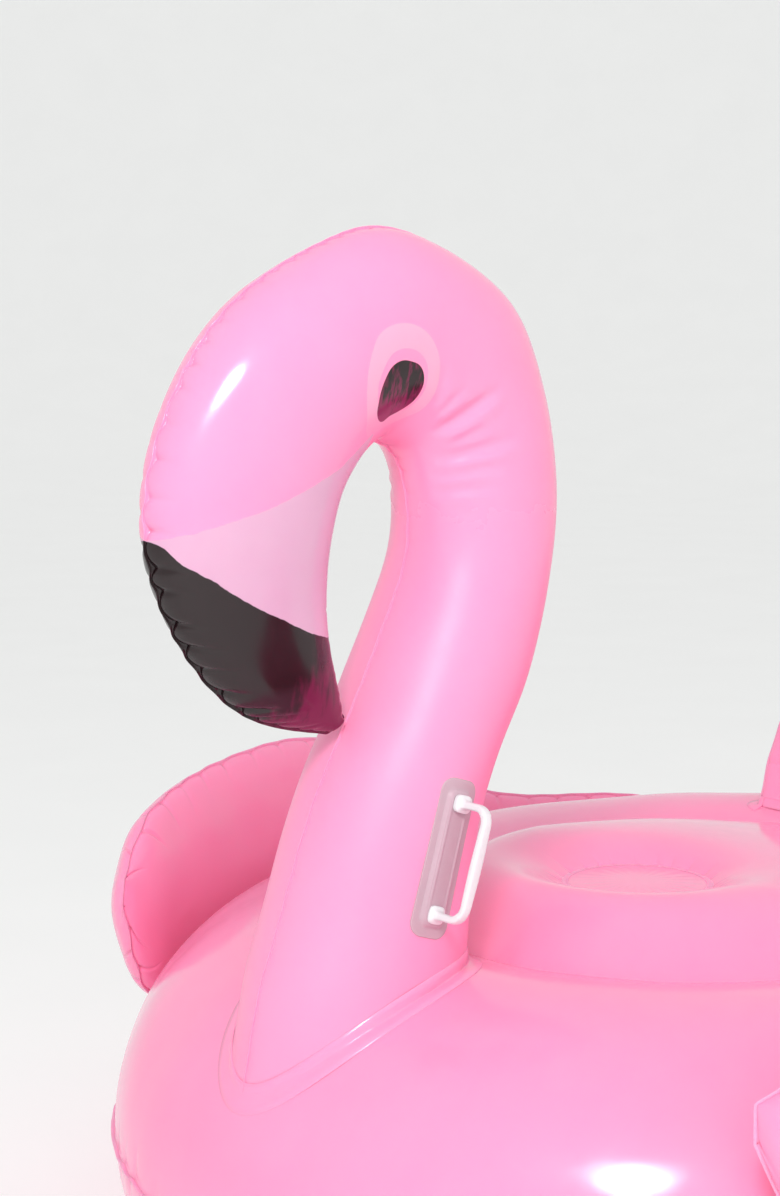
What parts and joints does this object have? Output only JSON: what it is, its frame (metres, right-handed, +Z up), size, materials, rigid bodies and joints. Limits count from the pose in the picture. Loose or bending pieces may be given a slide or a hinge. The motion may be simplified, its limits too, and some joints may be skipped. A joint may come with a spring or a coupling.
{
  "type": "inflatable pool float",
  "caption": "Ride-on inflatable pool float shaped as a flamingo: oval ring with a dimpled seat, curved neck and head, side wings, tail and neck handles.",
  "frame": {"origin": "under the middle of the float, on the floor it rests on", "axes": "+X towards the tail, the bird faces -X; +Y towards the bird's right; +Z up"},
  "size_m": [1.5225, 1.4309, 1.1798],
  "materials": {
    "pink_film": "glossy soft vinyl",
    "inner_film": "plain vinyl",
    "handle_base": "frosted vinyl",
    "handle_grip": "satin moulded",
    "valve_plastic": "soft clear vinyl"
  },
  "bodies": {
    "float": {"ring_top_panel": "pink_film", "ring_bottom_panel": "pink_film", "seat_top_panel": "pink_film", "seat_dimple_disc": "pink_film", "seat_bottom_panel": "pink_film", "neck_head_left_panel": "pink_film", "neck_head_right_panel": "pink_film", "neck_base_collar": "pink_film", "wing_left_outer_panel": "pink_film", "wing_left_inner_panel": "pink_film", "wing_right_outer_panel": "pink_film", "wing_right_inner_panel": "pink_film", "tail_front_panel": "pink_film", "tail_rear_panel": "pink_film", "seat_tie_band": "inner_film", "handle_left_base": "handle_base", "handle_left_grip": "handle_grip", "handle_right_base": "handle_base", "handle_right_grip": "handle_grip", "valve_ring_flange": "valve_plastic", "valve_seat_flange": "valve_plastic", "valve_neck_flange": "valve_plastic", "valve_left_wing_flange": "valve_plastic", "valve_right_wing_flange": "valve_plastic", "valve_tail_flange": "valve_plastic"},
    "ring_valve_stem": {"valve_ring_stem": "valve_plastic", "valve_ring_strap": "valve_plastic"},
    "ring_valve_plug": {"valve_ring_plug": "valve_plastic"},
    "ring_valve_flap": {"valve_ring_check_flap": "valve_plastic"},
    "seat_valve_stem": {"valve_seat_stem": "valve_plastic", "valve_seat_strap": "valve_plastic"},
    "seat_valve_plug": {"valve_seat_plug": "valve_plastic"},
    "seat_valve_flap": {"valve_seat_check_flap": "valve_plastic"},
    "neck_valve_stem": {"valve_neck_stem": "valve_plastic", "valve_neck_strap": "valve_plastic"},
    "neck_valve_plug": {"valve_neck_plug": "valve_plastic"},
    "neck_valve_flap": {"valve_neck_check_flap": "valve_plastic"},
    "left_wing_valve_stem": {"valve_left_wing_stem": "valve_plastic", "valve_left_wing_strap": "valve_plastic"},
    "left_wing_valve_plug": {"valve_left_wing_plug": "valve_plastic"},
    "left_wing_valve_flap": {"valve_left_wing_check_flap": "valve_plastic"},
    "right_wing_valve_stem": {"valve_right_wing_stem": "valve_plastic", "valve_right_wing_strap": "valve_plastic"},
    "right_wing_valve_plug": {"valve_right_wing_plug": "valve_plastic"},
    "right_wing_valve_flap": {"valve_right_wing_check_flap": "valve_plastic"},
    "tail_valve_stem": {"valve_tail_stem": "valve_plastic", "valve_tail_strap": "valve_plastic"},
    "tail_valve_plug": {"valve_tail_plug": "valve_plastic"},
    "tail_valve_flap": {"valve_tail_check_flap": "valve_plastic"}
  },
  "joints": [
    {"name": "ring_valve_push", "type": "slide", "parent": "float", "child": "ring_valve_stem", "axis": [-0.7287, -0.2999, -0.6157], "range_m": [0, 0.006]},
    {"name": "ring_plug_pull", "type": "slide", "parent": "ring_valve_stem", "child": "ring_valve_plug", "axis": [0.7287, 0.2999, 0.6157], "range_m": [0, 0.012]},
    {"name": "ring_check_flap_swing", "type": "hinge", "parent": "ring_valve_stem", "child": "ring_valve_flap", "pos_m": [0.64322, 0.19752, 0.36812], "axis": [0.1353, -0.9443, 0.2999], "range_deg": [0, 50], "stiffness_Nm_per_rad": 0.002},
    {"name": "seat_valve_push", "type": "slide", "parent": "float", "child": "seat_valve_stem", "axis": [0, 0, 1], "range_m": [0, 0.006]},
    {"name": "seat_plug_pull", "type": "slide", "parent": "seat_valve_stem", "child": "seat_valve_plug", "axis": [0, 0, -1], "range_m": [0, 0.012]},
    {"name": "seat_check_flap_swing", "type": "hinge", "parent": "seat_valve_stem", "child": "seat_valve_flap", "pos_m": [0.014, 0, 0.2043], "axis": [0, -1, 0], "range_deg": [0, 50], "stiffness_Nm_per_rad": 0.002},
    {"name": "neck_valve_push", "type": "slide", "parent": "float", "child": "neck_valve_stem", "axis": [-0.0009, -0.9986, -0.0526], "range_m": [0, 0.006]},
    {"name": "neck_plug_pull", "type": "slide", "parent": "neck_valve_stem", "child": "neck_valve_plug", "axis": [0.0009, 0.9986, 0.0526], "range_m": [0, 0.012]},
    {"name": "neck_check_flap_swing", "type": "hinge", "parent": "neck_valve_stem", "child": "neck_valve_flap", "pos_m": [-0.39451, 0.07472, 0.80374], "axis": [0.0009, -0.0526, 0.9986], "range_deg": [0, 50], "stiffness_Nm_per_rad": 0.002},
    {"name": "left_wing_valve_push", "type": "slide", "parent": "float", "child": "left_wing_valve_stem", "axis": [-0.1919, 0.9814, 0], "range_m": [0, 0.006]},
    {"name": "left_wing_plug_pull", "type": "slide", "parent": "left_wing_valve_stem", "child": "left_wing_valve_plug", "axis": [0.1919, -0.9814, 0], "range_m": [0, 0.012]},
    {"name": "left_wing_check_flap_swing", "type": "hinge", "parent": "left_wing_valve_stem", "child": "left_wing_valve_flap", "pos_m": [0.15145, -0.68443, 0.35085], "axis": [-0.1884, -0.0368, -0.9814], "range_deg": [0, 50], "stiffness_Nm_per_rad": 0.002},
    {"name": "right_wing_valve_push", "type": "slide", "parent": "float", "child": "right_wing_valve_stem", "axis": [-0.1919, -0.9814, 0], "range_m": [0, 0.006]},
    {"name": "right_wing_plug_pull", "type": "slide", "parent": "right_wing_valve_stem", "child": "right_wing_valve_plug", "axis": [0.1919, 0.9814, 0], "range_m": [0, 0.012]},
    {"name": "right_wing_check_flap_swing", "type": "hinge", "parent": "right_wing_valve_stem", "child": "right_wing_valve_flap", "pos_m": [0.15145, 0.68443, 0.35085], "axis": [0.1884, -0.0368, 0.9814], "range_deg": [0, 50], "stiffness_Nm_per_rad": 0.002},
    {"name": "tail_valve_push", "type": "slide", "parent": "float", "child": "tail_valve_stem", "axis": [-0.8311, 0, 0.5561], "range_m": [0, 0.006]},
    {"name": "tail_plug_pull", "type": "slide", "parent": "tail_valve_stem", "child": "tail_valve_plug", "axis": [0.8311, 0, -0.5561], "range_m": [0, 0.012]},
    {"name": "tail_check_flap_swing", "type": "hinge", "parent": "tail_valve_stem", "child": "tail_valve_flap", "pos_m": [0.65482, 0, 0.65651], "axis": [0, -1, 0], "range_deg": [0, 50], "stiffness_Nm_per_rad": 0.002}
  ]
}
